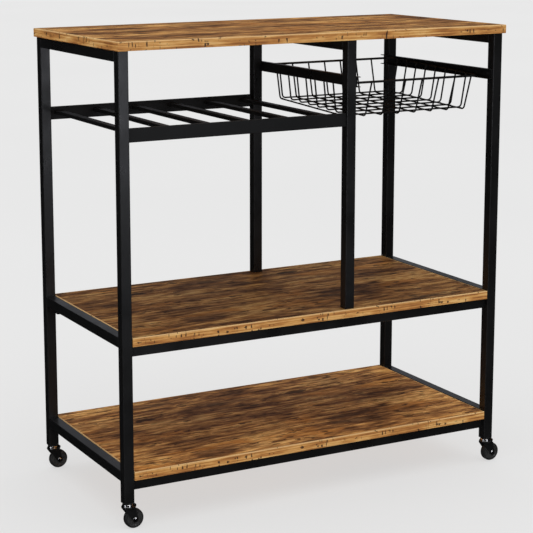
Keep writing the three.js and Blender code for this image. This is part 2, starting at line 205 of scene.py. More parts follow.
def board_face(name, shift, painted_light_gain):
    """Printed rustic wood, grain along X: straight golden streaks, dark checks, knots and a saw line, its
    brightness scaled per board as painted light and shade.
    """
    g = Graph(name, specular_ior_level=0.10)
    plain_x, plain_y, _ = g.separate(g.coordinates())
    x = g.math("ADD", plain_x, shift[0])
    y = g.math("ADD", plain_y, shift[1])
    flat = g.combine(x, y, 0.0)
    ragged = g.math("SUBTRACT", g.noise(g.mapping(flat, scale=(38.0, 110.0, 1.0)), 1.0, 3.0, 0.6), 0.5)
    wander = g.math("SUBTRACT", g.noise(g.mapping(flat, scale=(2.4, 7.0, 1.0)), 1.0, 2.0), 0.5)

    ragged_x = g.math("MULTIPLY_ADD", ragged, 0.045, x)
    ragged_y = g.math("MULTIPLY_ADD", ragged, 0.014, y)
    knot_at = g.combine(ragged_x, ragged_y, 0.0)
    knot_distance, knot_colour = g.voronoi(g.mapping(knot_at, scale=(5.2, 14.0, 1.0)), 1.0)
    knot_there = g.math("GREATER_THAN", g.separate(knot_colour)[0], 0.25)
    around = g.math("MULTIPLY", g.steps(knot_distance, 0.05, 0.40, 1.0, 0.0), knot_there)
    shove = g.math("MULTIPLY_ADD", around, 0.006, g.math("MULTIPLY", wander, 0.016))
    grain = g.combine(x, g.math("ADD", y, shove), 0.0)

    def streaks(along, across, detail, roughness, place=(0, 0, 0)):
        return g.noise(g.mapping(grain, scale=(along, across, 1.0), location=place), 1.0, detail, roughness)

    clouds = streaks(4.5, 15.0, 3.0, 0.55)
    bands = streaks(8.0, 58.0, 4.0, 0.6, (2.0, 5.0, 0))
    broken = streaks(26.0, 150.0, 4.0, 0.65, (4.0, 7.0, 0))
    fibres = streaks(26.0, 760.0, 2.0, 0.6, (8.0, 3.0, 0))
    tone = g.math("MULTIPLY_ADD", clouds, 0.34, g.math("MULTIPLY", bands, 0.34))
    tone = g.math("MULTIPLY_ADD", broken, 0.32, tone)
    colour = g.ramp(tone, (
        (0.41, linear(70, 42, 20)),
        (0.46, linear(112, 71, 36)),
        (0.50, linear(148, 99, 51)),
        (0.54, linear(184, 131, 70)),
        (0.60, linear(222, 174, 104)),
    ))
    warm = streaks(6.0, 19.0, 4.0, 0.6, (3.1, 1.7, 0))
    colour = g.mix(g.steps(warm, 0.53, 0.66, 0.0, 0.5), colour, linear(182, 114, 42))
    grey = streaks(6.0, 19.0, 2.0, 0.6, (7.7, 4.2, 0))
    colour = g.mix(g.steps(grey, 0.55, 0.68, 0.0, 0.3), colour, linear(128, 100, 66))

    checks = streaks(24.0, 100.0, 3.0, 0.6, (1.3, 9.1, 0))
    regions = streaks(6.0, 24.0, 2.0, 0.5, (5.5, 2.5, 0))
    check = g.math("MULTIPLY", g.steps(checks, 0.585, 0.608), g.steps(regions, 0.44, 0.50))
    smudge = g.math("MULTIPLY", g.steps(streaks(14.0, 45.0, 5.0, 0.65, (9.2, 6.6, 0)), 0.55, 0.62), 0.38)
    heart = g.math("MULTIPLY", g.steps(knot_distance, 0.11, 0.15, 1.0, 0.0), knot_there)
    ripple = g.math("SINE", g.math("MULTIPLY_ADD", knot_distance, 62.0, g.math("MULTIPLY", broken, 5.0)))
    ring = g.math("MULTIPLY", g.steps(ripple, 0.0, 0.9), g.math("MULTIPLY", around, 0.7))
    saw_drift = g.math("MULTIPLY_ADD", ragged, 0.05, g.math("SUBTRACT", plain_x, 0.232))
    near_saw = g.steps(g.math("ABSOLUTE", saw_drift), 0.003, 0.010, 0.9, 0.0)
    saw_gaps = g.noise(g.combine(0.0, g.math("MULTIPLY", y, 34.0), 0.0), 1.0, 2.0)
    saw_line = g.math("MULTIPLY", near_saw, g.steps(saw_gaps, 0.50, 0.58))
    dark = g.math("MAXIMUM", g.math("MAXIMUM", check, smudge), g.math("MAXIMUM", heart, ring))
    dark = g.math("MAXIMUM", dark, saw_line)
    colour = g.mix(g.math("MULTIPLY", dark, 0.85), colour, linear(54, 33, 16))
    # Fibres vary the tone; the per-board gain brightens or darkens the whole print as painted light and
    # shade.
    fibre_tone_and_painted_light = g.steps(fibres, 0.34, 0.66, 0.74 * painted_light_gain, 1.18 * painted_light_gain)
    g.colour(g.mix(1.0, colour, g.combine(fibre_tone_and_painted_light, fibre_tone_and_painted_light, fibre_tone_and_painted_light), "MULTIPLY"))
    g.roughness(g.steps(broken, 0.35, 0.65, 0.66, 0.52))
    g.bump(g.math("SUBTRACT", g.math("MULTIPLY", fibres, 0.4), dark), 0.00012, 0.6)
    return g.material


def board_band(name, along, shift, top):
    """Edge band: lighter printed wood with thin lines along its length, upright ticks and dots, and a painted
    highlight along its top edge.
    """
    g = Graph(name, specular_ior_level=0.3)
    _, _, height = g.separate(g.coordinates())
    x, y, z = g.separate(g.mapping(g.coordinates(), location=shift))
    grain = g.combine(x if along == "x" else y, z, 0.0)

    def marks(run, rise, detail, roughness, place=(0, 0, 0)):
        return g.noise(g.mapping(grain, scale=(run, rise, 1.0), location=place), 1.0, detail, roughness)

    clouds = marks(14.0, 60.0, 3.0, 0.6)
    lines = marks(6.0, 330.0, 4.0, 0.65, (4.0, 1.0, 0))
    tone = g.math("MULTIPLY_ADD", clouds, 0.4, g.math("MULTIPLY", lines, 0.6))
    colour = g.ramp(tone, (
        (0.40, linear(146, 88, 36)),
        (0.47, linear(190, 127, 60)),
        (0.53, linear(216, 158, 84)),
        (0.60, linear(238, 192, 122)),
    ))
    # Lighter colour over the top 1.2 to 2.6 mm of the band: a painted highlight along its upper edge.
    painted_top_highlight = g.steps(height, top - 0.0026, top - 0.0012)
    colour = g.mix(g.math("MULTIPLY", painted_top_highlight, 0.75), colour, linear(240, 200, 140))
    ticks = g.math("MULTIPLY", g.steps(marks(210.0, 38.0, 1.0, 0.5, (2.0, 6.0, 0)), 0.60, 0.66),
                   g.steps(marks(18.0, 90.0, 2.0, 0.5, (9.0, 3.0, 0)), 0.50, 0.56))
    dots = g.steps(marks(95.0, 150.0, 2.0, 0.5, (6.0, 8.0, 0)), 0.66, 0.73)
    dark = g.math("MAXIMUM", ticks, dots)
    g.colour(g.mix(g.math("MULTIPLY", dark, 0.9), colour, linear(56, 32, 14)))
    g.roughness(g.steps(lines, 0.35, 0.65, 0.58, 0.45))
    g.bump(g.math("SUBTRACT", g.math("MULTIPLY", lines, 0.5), dark), 0.0001, 0.5)
    return g.material


def black_coat(name, base, edge, roughness, grain_scale, specular=0.4):
    """Black coating on metal with a fine orange peel, faint clouding, and edges lightened partly as rubbed
    wear and partly as a painted highlight.
    """
    g = Graph(name, specular_ior_level=specular)
    at = g.coordinates()
    peel = g.noise(at, grain_scale, 2.0)
    clouds = g.noise(at, 14.0, 3.0)
    rub = g.noise(at, 160.0, 3.0, 0.6)
    # Lighter colour on the corners: partly rubbed wear, partly a painted highlight, never less than 0.45 of
    # its full strength.
    rubbed_wear_and_highlight = g.math("MULTIPLY", g.attribute("edge"), g.steps(rub, 0.40, 0.66, 0.45, 1.0))
    colour = g.mix(g.steps(clouds, 0.3, 0.7, 0.0, 0.10), base, edge)
    g.colour(g.mix(g.math("MULTIPLY", rubbed_wear_and_highlight, 0.8), colour, edge))
    soft = g.steps(clouds, 0.3, 0.7, roughness - 0.05, roughness + 0.05)
    g.roughness(g.math("SUBTRACT", soft, g.math("MULTIPLY", rubbed_wear_and_highlight, 0.1)))
    g.bump(peel, 0.00006, 0.5)
    return g.material


def polished_chrome():
    g = Graph("chrome", metallic=1.0)
    at = g.coordinates()
    rings = g.noise(g.mapping(at, scale=(60.0, 60.0, 2600.0)), 1.0, 2.0)
    haze = g.noise(at, 320.0, 3.0)
    g.colour(g.ramp(haze, ((0.35, linear(222, 222, 222)), (0.7, linear(246, 246, 245)))))
    g.roughness(g.steps(haze, 0.35, 0.75, 0.16, 0.30))
    g.bump(rings, 0.00002, 0.4)
    return g.material


def moulded_plastic(name, base, light, roughness, specular=0.5):
    g = Graph(name, specular_ior_level=specular)
    at = g.coordinates()
    dust = g.noise(at, 90.0, 4.0, 0.6)
    fine = g.noise(at, 2200.0, 2.0)
    g.colour(g.mix(g.steps(dust, 0.35, 0.75, 0.0, 0.7), base, light))
    g.roughness(g.steps(dust, 0.3, 0.75, roughness - 0.06, roughness + 0.1))
    g.bump(fine, 0.00003, 0.35)
    return g.material


# ---- Mesh making ----

AXES = {"x": (1, 2, 0), "y": (0, 2, 1), "z": (0, 1, 2)}


def on_axis(axis, u, v, w):
    """The point at (u, v) in the section's plane and w along the axis."""
    point = [0.0, 0.0, 0.0]
    for index, value in zip(AXES[axis], (u, v, w)):
        point[index] = value
    return tuple(point)


def rounded_rectangle(half_u, half_v, radius, steps=5):
    """Outline points, and for each how far it is into its corner, from 0 at the flats to 1."""
    points, edge = [], []
    for quarter, (su, sv) in enumerate(((1, 1), (-1, 1), (-1, -1), (1, -1))):
        for step in range(steps + 1):
            share = step / steps
            angle = (quarter + share) * math.pi / 2
            points.append((su * (half_u - radius) + radius * math.cos(angle),
                           sv * (half_v - radius) + radius * math.sin(angle)))
            edge.append(1 - abs(2 * share - 1))
    return points, edge


def mesh_piece(name, vertices, faces, material, body, replaces=(), edge=None, sharp=40):
    """A finished piece: closed mesh, normals out, smooth below the sharp angle, riding on its body."""
    mesh = bpy.data.meshes.new(name)
    mesh.from_pydata(vertices, [], faces)
    if edge is not None:
        values = mesh.attributes.new("edge", "FLOAT", "POINT")
        values.data.foreach_set("value", edge)
    mesh.materials.append(material)
    shape = bmesh.new()
    shape.from_mesh(mesh)
    bmesh.ops.recalc_face_normals(shape, faces=shape.faces)
    for face in shape.faces:
        face.smooth = True
    shape.to_mesh(mesh)
    shape.free()
    mesh.set_sharp_from_angle(angle=math.radians(sharp))
    piece = bpy.data.objects.new(name, mesh)
    bpy.context.scene.collection.objects.link(piece)
    flat_sides = piece.modifiers.new("flat_sides", "WEIGHTED_NORMAL")
    flat_sides.weight = 100
    flat_sides.keep_sharp = True
    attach(piece, body)
    if replaces:
        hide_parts(*replaces)
    return piece


class Solid:
    """Collects vertices, faces and edge marks of one piece."""

    def __init__(self):
        self.vertices, self.faces, self.edge = [], [], []

    def loop(self, points, edge=0.0):
        start = len(self.vertices)
        self.vertices.extend(points)
        self.edge.extend(edge if isinstance(edge, list) else [edge] * len(points))
        return list(range(start, start + len(points)))

    def bridge(self, first, second):
        count = len(first)
        for i in range(count):
            j = (i + 1) % count
            self.faces.append((first[i], first[j], second[j], second[i]))

    def loft(self, loops, closed=False, caps=True):
        for first, second in zip(loops, loops[1:]):
            self.bridge(first, second)
        if closed:
            self.bridge(loops[-1], loops[0])
        elif caps:
            self.faces.append(tuple(reversed(loops[0])))
            self.faces.append(tuple(loops[-1]))

    def piece(self, name, material, body, slot, replaces=(), sharp=40):
        return mesh_piece(name, self.vertices, self.faces, material, body, replaces,
                          self.edge, sharp)


def middle(low, high):
    return (low + high) / 2


def node_section(node, axis, grow=0.0):
    """Half sizes across, centre across, start and end along the axis of a straight CAD node."""
    low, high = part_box(node)
    iu, iv, iw = AXES[axis]
    half = ((high[iu] - low[iu]) / 2, (high[iv] - low[iv]) / 2)
    centre = (middle(low[iu], high[iu]), middle(low[iv], high[iv]))
    return half, centre, low[iw] - grow, high[iw] + grow


def square_tube(node, axis, material, grow=0.0):
    """Open tube with rounded corners, wall and chamfered ends in place of a plain CAD tube."""
    half, centre, start, end = node_section(node, axis, grow)
    solid = Solid()

    def ring(inset, radius, w):
        points, edge = rounded_rectangle(half[0] - inset, half[1] - inset, radius)
        return solid.loop([on_axis(axis, centre[0] + u, centre[1] + v, w) for u, v in points], edge)

    chamfer = END_CHAMFER
    solid.loft([
        ring(0, TUBE_CORNER, start + chamfer),
        ring(0, TUBE_CORNER, end - chamfer),
        ring(chamfer, TUBE_CORNER - chamfer, end),
        ring(TUBE_WALL, TUBE_INNER_CORNER, end),
        ring(TUBE_WALL, TUBE_INNER_CORNER, start),
        ring(chamfer, TUBE_CORNER - chamfer, start),
    ], closed=True)
    return solid.piece(f"{node}_tube", material, "frame", "frame_black", (node,))


def bar(name, axis, half, centre, start, end, radius, material, slot, replaces=(), body="frame"):
    """Solid bar with rounded long edges and softened ends."""
    solid = Solid()
    soften = min(radius, 0.4 * MM)

    def ring(inset, w):
        points, edge = rounded_rectangle(half[0] - inset, half[1] - inset, max(radius - inset, 0.1 * MM))
        return solid.loop([on_axis(axis, centre[0] + u, centre[1] + v, w) for u, v in points], edge)

    solid.loft([ring(soften, start), ring(soften * 0.3, start + soften * 0.3), ring(0, start + soften),
                ring(0, end - soften), ring(soften * 0.3, end - soften * 0.3), ring(soften, end)])
    return solid.piece(name, material, body, slot, replaces)


def weld_ring(name, axis, half, centre, at, radius, material):
    """A weld bead round the end of a bar or tube, with the small ripples of a hand weld."""
    outline, _ = rounded_rectangle(half[0], half[1], min(2 * MM, half[1] * 0.6), 4)
    points = []
    for (u0, v0), (u1, v1) in zip(outline, outline[1:] + outline[:1]):
        length = math.hypot(u1 - u0, v1 - v0)
        pieces = max(1, round(length / (1.1 * MM)))
        points.extend((u0 + (u1 - u0) * k / pieces, v0 + (v1 - v0) * k / pieces) for k in range(pieces))
    solid = Solid()
    loops, count, sides = [], len(points), 7
    for i, (u, v) in enumerate(points):
        before, after = points[i - 1], points[(i + 1) % count]
        direction = Vector((after[0] - before[0], after[1] - before[1])).normalized()
        outward = Vector((direction.y, -direction.x))
        swell = radius * (0.88 + 0.12 * math.sin(i * 2.1) + 0.05 * math.sin(i * 0.73))
        loops.append(solid.loop([
            on_axis(axis,
                    centre[0] + u + outward.x * (math.cos(a) * swell - radius * 0.55),
                    centre[1] + v + outward.y * (math.cos(a) * swell - radius * 0.55),
                    at + math.sin(a) * swell)
            for a in (k / sides * math.tau for k in range(sides))
        ], 0.3))
    solid.loft(loops, closed=True)
    return solid.piece(name, material, "frame", "frame_black", sharp=70)


def path_frames(points):
    """Tangent and two side directions at each point of a path, without twist."""
    frames, side = [], None
    for i, point in enumerate(points):
        ahead = points[min(i + 1, len(points) - 1)] - points[max(i - 1, 0)]
        tangent = ahead.normalized()
        if side is None:
            helper = Vector((0, 0, 1)) if abs(tangent.z) < 0.9 else Vector((0, 1, 0))
            side = tangent.cross(helper).normalized()
        else:
            side = (side - tangent * side.dot(tangent)).normalized()
        frames.append((point, tangent, side, tangent.cross(side)))
    return frames


def bent(corners, radius, steps):
    """A polyline with each inner corner turned into a true arc."""
    points = [corners[0]]
    for before, corner, after in zip(corners, corners[1:], corners[2:]):
        back, ahead = (before - corner), (after - corner)
        limit = 0.45 * min(back.length, ahead.length)
        back.normalize()
        ahead.normalize()
        opening = back.angle(ahead)
        reach = min(radius, limit)
        arc_radius = reach * math.tan(opening / 2)
        centre = corner + (back + ahead).normalized() * (arc_radius / math.sin(opening / 2))
        first = corner + back * reach - centre
        last = corner + ahead * reach - centre
        turn = first.angle(last)
        for step in range(steps + 1):
            share = step / steps
            swing = (first * math.sin((1 - share) * turn) + last * math.sin(share * turn)) / math.sin(turn)
            points.append(centre + swing)
    points.append(corners[-1])
    return points


def add_wire(solid, points, radius, sides=12, closed=False):
    """Round wire along a path, with domed ends unless it closes on itself."""
    if closed:
        count = len(points)
        loops = []
        for i, point in enumerate(points):
            tangent = (points[(i + 1) % count] - points[i - 1]).normalized()
            side = tangent.cross(Vector((0, 0, 1))).normalized()
            up = side.cross(tangent)
            loops.append(solid.loop([
                point + (side * math.cos(a) + up * math.sin(a)) * radius
                for a in (k / sides * math.tau for k in range(sides))
            ]))
        solid.loft(loops, closed=True)
        return
    frames = path_frames(points)
    loops = []
    dome = (0.98, 0.72, 0.3)

    def ring(point, side, up, size):
        return solid.loop([
            point + (side * math.cos(a) + up * math.sin(a)) * size
            for a in (k / sides * math.tau for k in range(sides))
        ])

    point, tangent, side, up = frames[0]
    for lift in dome:
        loops.append(ring(point - tangent * radius * lift, side, up, radius * math.sqrt(1 - lift * lift)))
    for point, tangent, side, up in frames:
        loops.append(ring(point, side, up, radius))
    for lift in reversed(dome):
        loops.append(ring(point + tangent * radius * lift, side, up, radius * math.sqrt(1 - lift * lift)))
    solid.loft(loops)


def add_bead(solid, centre, radii, rings=5, sides=10):
    """A small flattened lump of weld."""
    loops = []
    for i in range(1, rings):
        angle = math.pi * i / rings
        loops.append(solid.loop([
            (centre[0] + radii[0] * math.sin(angle) * math.cos(a),
             centre[1] + radii[1] * math.sin(angle) * math.sin(a),
             centre[2] + radii[2] * math.cos(angle))
            for a in (k / sides * math.tau for k in range(sides))
        ], 0.2))
    solid.loft(loops)


def add_lathe(solid, profile, axis, centre, sides, shape=None, edge=0.0):
    """Turns a closed profile of (radius, height) points; points on the axis become single caps."""
    loops = []
    for radius, height in profile:
        ring = []
        for k in range(sides):
            angle = k / sides * math.tau
            u, v, w = radius * math.cos(angle), radius * math.sin(angle), height
            if shape:
                u, v, w = shape(u, v, w)
            ring.append(on_axis(axis, centre[0] + u, centre[1] + v, centre[2] + w))
        loops.append(solid.loop(ring, edge))
    return loops


# ---- Materials in use ----

BLACK = (0.0066, 0.0066, 0.0068, 1.0)
# Edge colours: rubbed wear together with a painted highlight on the corners of the coated parts.
BLACK_RUB_AND_HIGHLIGHT = (0.030, 0.030, 0.032, 1.0)
WIRE_BLACK = (0.008, 0.008, 0.0085, 1.0)
WIRE_RUB_AND_HIGHLIGHT = (0.02, 0.02, 0.021, 1.0)
FORK_BLACK = (0.006, 0.006, 0.0065, 1.0)
FORK_RUB_AND_HIGHLIGHT = (0.02, 0.02, 0.02, 1.0)
WHEEL_DARK = (0.030, 0.030, 0.030, 1.0)
WHEEL_LIGHT = (0.062, 0.062, 0.062, 1.0)
TREAD_DARK = (0.014, 0.014, 0.014, 1.0)
TREAD_LIGHT = (0.03, 0.03, 0.03, 1.0)
PLUG_DARK = (0.014, 0.014, 0.015, 1.0)
PLUG_LIGHT = (0.028, 0.028, 0.029, 1.0)
frame_black = black_coat("black_powder_coat", BLACK, BLACK_RUB_AND_HIGHLIGHT, 0.31, 1500.0)
rack_black = black_coat("rack_powder_coat", BLACK, BLACK_RUB_AND_HIGHLIGHT, 0.46, 1500.0, 0.2)
basket_black = black_coat("black_wire_coat", WIRE_BLACK, WIRE_RUB_AND_HIGHLIGHT, 0.40, 2200.0)
fork_black = black_coat("fork_black_coat", FORK_BLACK, FORK_RUB_AND_HIGHLIGHT, 0.30, 1800.0, 0.5)
chrome = polished_chrome()
wheel_black = moulded_plastic("wheel_plastic", WHEEL_DARK, WHEEL_LIGHT, 0.26)
tread_black = moulded_plastic("wheel_tread", TREAD_DARK, TREAD_LIGHT, 0.5, 0.4)
plug_black = moulded_plastic("plug_plastic", PLUG_DARK, PLUG_LIGHT, 0.55, 0.4)


# ---- Boards ----

def board(node, shift, painted_light_gain):
    """A board's core with a 2 mm edge band on each of its four sides."""
    low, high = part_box(node)
    centre = (low + high) / 2
    half = (high - low) / 2
    face_material = board_face(f"{node}_face", shift, painted_light_gain)
    core = Solid()
    inner_x, inner_y = half.x - BAND_THICKNESS - BAND_SEAM, half.y - BAND_THICKNESS - BAND_SEAM

    def ring(inset, z):
        points, _ = rounded_rectangle(inner_x - inset, inner_y - inset, 0.4 * MM, 2)
        return core.loop([(centre.x + u, centre.y + v, z) for u, v in points])

    core.loft([ring(CORE_CHAMFER, low.z), ring(0, low.z + CORE_CHAMFER),
               ring(0, high.z - CORE_CHAMFER), ring(CORE_CHAMFER, high.z)])
    core.piece(f"{node}_core", face_material, "frame", "board", (node,), sharp=30)

    bands = (
        ("front", "x", -half.y, half.x, 1),
        ("back", "x", half.y, half.x, -1),
        ("left", "y", -half.x, half.y - BAND_THICKNESS - BAND_SEAM, 1),
        ("right", "y", half.x, half.y - BAND_THICKNESS - BAND_SEAM, -1),
    )
    for side, axis, face, reach, inward in bands:
        material = board_band(f"{node}_band_{side}", axis, shift, high.z)
        strip = Solid()
        iu = AXES[axis][0]
        middle_w = centre[AXES[axis][2]]
        base = centre[iu] + face

        def section(inset, w):
            points = [(BAND_THICKNESS - inset, half.z - inset), (BAND_THICKNESS - inset, -half.z + inset)]
            corner = BAND_ROUND - inset
            for v_sign, turn in ((-1, 0), (1, 1)):
                arc = [k / 5 * math.pi / 2 for k in range(6)]
                arc = arc if turn else arc[::-1]
                for angle in arc:
                    u = BAND_ROUND - corner * math.cos(angle)
                    v = v_sign * (half.z - BAND_ROUND + corner * math.sin(angle))
                    points.append((u, v))
            return strip.loop([
                on_axis(axis, base + inward * u, centre.z + v, w) for u, v in points
            ])

        start, end = middle_w - reach, middle_w + reach
        soft = 0.5 * MM if axis == "x" else 0.05 * MM
        strip.loft([section(soft, start), section(0, start + soft),
                    section(0, end - soft), section(soft, end)])
        strip.piece(f"{node}_band_{side}", material, "frame", "board", sharp=30)


# Print offset and brightness gain per board; the gain paints light and shade: the top board brighter, the
# middle shelf darker as if shaded by the top board, the bottom shelf lighter.
BOARD_LOOKS = (
    ("top_board", (1.90, 0.70, 0.0), 1.15),
    ("middle_shelf_board", (0.40, 0.30, 0.257), 0.80),
    ("bottom_shelf_board", (0.40, 0.34, 0.514), 1.50),
)
for node, shift, painted_light_gain in BOARD_LOOKS:
    board(node, shift, painted_light_gain)


# ---- Frame ----

for corner in CORNERS:
    square_tube(f"leg_{corner}", "z", frame_black)
for side in SIDES:
    for level in ("top", "middle", "bottom"):
        node = f"{level}_side_rail_{side}"
        square_tube(node, "y", frame_black, JOINT_GAP)
        half, centre, start, end = node_section(node, "y", JOINT_GAP)
        for end_name, at in zip(ENDS, (start, end)):
            weld_ring(f"weld_{node}_{end_name}", "y", half, centre, at, WELD_RADIUS, frame_black)
for end_name in ENDS:
    for level in ("middle", "bottom"):
        square_tube(f"{level}_shelf_rail_{end_name}", "x", frame_black)
    square_tube(f"post_{end_name}", "z", frame_black)
square_tube("top_post_rail", "y", frame_black, JOINT_GAP)
half, centre, start, end = node_section("top_post_rail", "y", JOINT_GAP)
for end_name, at in zip(ENDS, (start, end)):
    weld_ring(f"weld_top_post_rail_{end_name}", "y", half, centre, at, WELD_RADIUS, frame_black)


# ---- Bottle rack ----

for end_name in ENDS:
    node = f"bottle_rail_{end_name}"
    half, centre, start, end = node_section(node, "x", JOINT_GAP)
    bar(f"{node}_bar", "x", half, centre, start, end, 1.2 * MM, rack_black, "frame_black", (node,))
for number in range(1, 7):
    node = f"bottle_slat_{number}"
    half, centre, start, end = node_section(node, "y", JOINT_GAP)
    bar(f"{node}_bar", "y", half, centre, start, end, 1.5 * MM, rack_black, "frame_black", (node,))
    for end_name, at in zip(ENDS, (start, end)):
        weld_ring(f"weld_{node}_{end_name}", "y", half, centre, at, 0.7 * MM, rack_black)


# ---- Basket runners ----

def runner(node, opens):
    """C channel bent from sheet, open towards the basket, with countersunk screws in its web."""
    low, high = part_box(node)
    web = low.x if opens > 0 else high.x
    width, height = high.x - low.x, high.z - low.z
    sheet = RUNNER_SHEET
    outer, inner = 1.9 * MM, 0.5 * MM
    solid = Solid()

    def arc(cu, cv, radius, from_angle, to_angle, steps=4):
        return [(cu + radius * math.cos(from_angle + (to_angle - from_angle) * k / steps),
                 cv + radius * math.sin(from_angle + (to_angle - from_angle) * k / steps))
                for k in range(steps + 1)]

    lip = sheet / 2
    quarter = math.pi / 2
    outline = []
    outline += arc(width - lip, lip, lip, -quarter, quarter, 5)
    outline += arc(sheet + inner, sheet + inner, inner, 3 * quarter, 2 * quarter)
    outline += arc(sheet + inner, height - sheet - inner, inner, 2 * quarter, quarter)
    outline += arc(width - lip, height - lip, lip, -quarter, quarter, 5)
    outline += arc(outer, height - outer, outer, quarter, 2 * quarter)
    outline += arc(outer, outer, outer, 2 * quarter, 3 * quarter)

    def ring(w):
        return solid.loop([(web + opens * u, w, low.z + v) for u, v in outline])

    solid.loft([ring(low.y), ring(high.y)])
    solid.piece(f"{node}_channel", frame_black, "frame", "frame_black", (node,), sharp=50)
    for end_name, y in (("front", low.y + 14 * MM), ("back", high.y - 14 * MM)):
        head = Solid()
        centre = (y, middle(low.z, high.z), web + opens * sheet)
        profile = ((2.9, -0.6), (3.1, 0.05), (2.7, 0.35), (1.2, 0.42), (1.0, 0.1))
        loops = add_lathe(head, [(r * MM, h * MM * opens) for r, h in profile], "x", centre, 24, edge=0.5)
        head.loft(loops)
        head.piece(f"{node}_screw_{end_name}", frame_black, "frame", "frame_black", sharp=35)


runner("basket_runner_left", 1)
runner("basket_runner_right", -1)


# ---- Wire basket ----

def wire_basket():
    low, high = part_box("wire_basket")
    left_low, left_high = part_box("basket_runner_left")
    right_low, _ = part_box("basket_runner_right")
    rim_z = left_low.z + RUNNER_SHEET + RIM_CLEARANCE + RIM_WIRE
    rim_left, rim_right = low.x + RIM_WIRE, high.x - RIM_WIRE
    rim_y = -low.y - RIM_WIRE
    lean = math.asin(BASKET_RISE / (2 * rim_y))
    lower_z = rim_z - BASKET_HEIGHT
    upper_z = lower_z + 2 * GRID_WIRE - WIRE_WELD
    shoulder_left = left_high.x + SHOULDER_PLAY + GRID_WIRE
    shoulder_right = right_low.x - SHOULDER_PLAY - GRID_WIRE
    floor_left = shoulder_left + BASKET_TAPER_SIDE
    floor_right = shoulder_right - BASKET_TAPER_SIDE
    floor_y = rim_y - BASKET_TAPER_FRONT

    def leant(point):
        """A point of the level basket turned about the front of its rim, so that the back rides high."""
        run, rise = point.y + rim_y, point.z - rim_z
        return Vector((point.x, run * math.cos(lean) - rise * math.sin(lean) - rim_y,
                       run * math.sin(lean) + rise * math.cos(lean) + rim_z))

    rim = Solid()
    outline, _ = rounded_rectangle((rim_right - rim_left) / 2, rim_y, RIM_CORNER, 8)
    centre_x = middle(rim_left, rim_right)
    rim_points = [leant(Vector((centre_x + u, v, rim_z))) for u, v in outline]
    add_wire(rim, rim_points, RIM_WIRE, 16, closed=True)
    rim.piece("basket_rim", basket_black, "basket", "basket_black", ("wire_basket",), sharp=60)

    spots = Solid()
    reach = floor_y - WIRE_BEND - 2 * GRID_WIRE
    hang = rim_z - RIM_WIRE * 0.35
    xs, ys = [], []
    for i in range(WIRES_EACH_WAY):
        share = i / (WIRES_EACH_WAY - 1)
        x = floor_left + share * (floor_right - floor_left)
        y = -reach + share * 2 * reach
        xs.append(x)
        ys.append(y)
        long_wire = Solid()
        long_points = bent([
            Vector((x, -rim_y, hang)), Vector((x, -floor_y, lower_z)),
            Vector((x, floor_y, lower_z)), Vector((x, rim_y, hang)),
        ], WIRE_BEND, 8)
        add_wire(long_wire, [leant(point) for point in long_points], GRID_WIRE)
        long_wire.piece(f"basket_long_wire_{i + 1}", basket_black, "basket", "basket_black", sharp=60)
        cross_wire = Solid()
        cross_points = bent([
            Vector((rim_left, y, rim_z)), Vector((shoulder_left, y, rim_z)),
            Vector((floor_left, y, upper_z)), Vector((floor_right, y, upper_z)),
            Vector((shoulder_right, y, rim_z)), Vector((rim_right, y, rim_z)),
        ], WIRE_BEND, 8)
        add_wire(cross_wire, [leant(point) for point in cross_points], GRID_WIRE)
        cross_wire.piece(f"basket_cross_wire_{i + 1}", basket_black, "basket", "basket_black", sharp=60)
        for end in (-1, 1):
            joint = leant(Vector((x, end * (rim_y - 0.2 * MM), rim_z - RIM_WIRE * 0.75)))
            add_bead(spots, joint, (2.2 * MM, 1.7 * MM, 1.5 * MM))
    for x in xs:
        for y in ys:
            joint = leant(Vector((x, y, middle(lower_z, upper_z))))
            add_bead(spots, joint, (1.9 * MM, 1.9 * MM, 1.1 * MM), 4, 8)
    spots.piece("basket_weld_spots", basket_black, "basket", "basket_black", sharp=80)


wire_basket()


# ---- Casters ----

DISH_SHIFT = 2.3 * MM
DISH_FLOOR = 12.2 * MM
DISH_RIM = 14.4 * MM
DISH_RISE = 2.4 * MM
DISH_SLOPE = 0.12
FORK_TOP = 42.2 * MM
FORK_SHEET = 2.2 * MM
FORK_INSIDE = 16.4 * MM
BOSS = 6.2 * MM
EAR_LEFT = -8.6 * MM
EAR_RIGHT = 13.7 * MM


def leg_plug(corner):
    low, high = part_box(f"leg_plug_{corner}")
    centre = (low + high) / 2
    flange_half = (high.x - low.x) / 2
    insert_half = flange_half - TUBE_WALL - JOINT_GAP
    bore = 4.4 * MM
    top = low.z + 2 * MM
    solid = Solid()

    def square(half, radius, z):
        points, _ = rounded_rectangle(half, half, radius, 5)
        return solid.loop([(centre.x + u, centre.y + v, z) for u, v in points])

    def circle(radius, z):
        points = []
        for quarter in range(4):
            for step in range(6):
                angle = (quarter + step / 5) * math.pi / 2
                angle += (0.004 if step == 0 else -0.004 if step == 5 else 0)
                points.append((centre.x + radius * math.cos(angle), centre.y + radius * math.sin(angle), z))
        return solid.loop(points)

    round_off = 0.7 * MM
    solid.loft([
        circle(bore, high.z), circle(bore, low.z),
        square(flange_half - round_off, TUBE_CORNER, low.z),
        square(flange_half - round_off * 0.3, TUBE_CORNER, low.z + round_off * 0.3),
        square(flange_half, TUBE_CORNER, low.z + round_off),
        square(flange_half, TUBE_CORNER, top - 0.2 * MM),
        square(flange_half - 0.2 * MM, TUBE_CORNER, top),
        square(insert_half, TUBE_INNER_CORNER, top),
        square(insert_half, TUBE_INNER_CORNER, high.z - 1 * MM),
        square(insert_half - 1 * MM, TUBE_INNER_CORNER, high.z),
    ], closed=True)
    solid.piece(f"leg_plug_{corner}_cap", plug_black, "frame", "plug_black", (f"leg_plug_{corner}",))


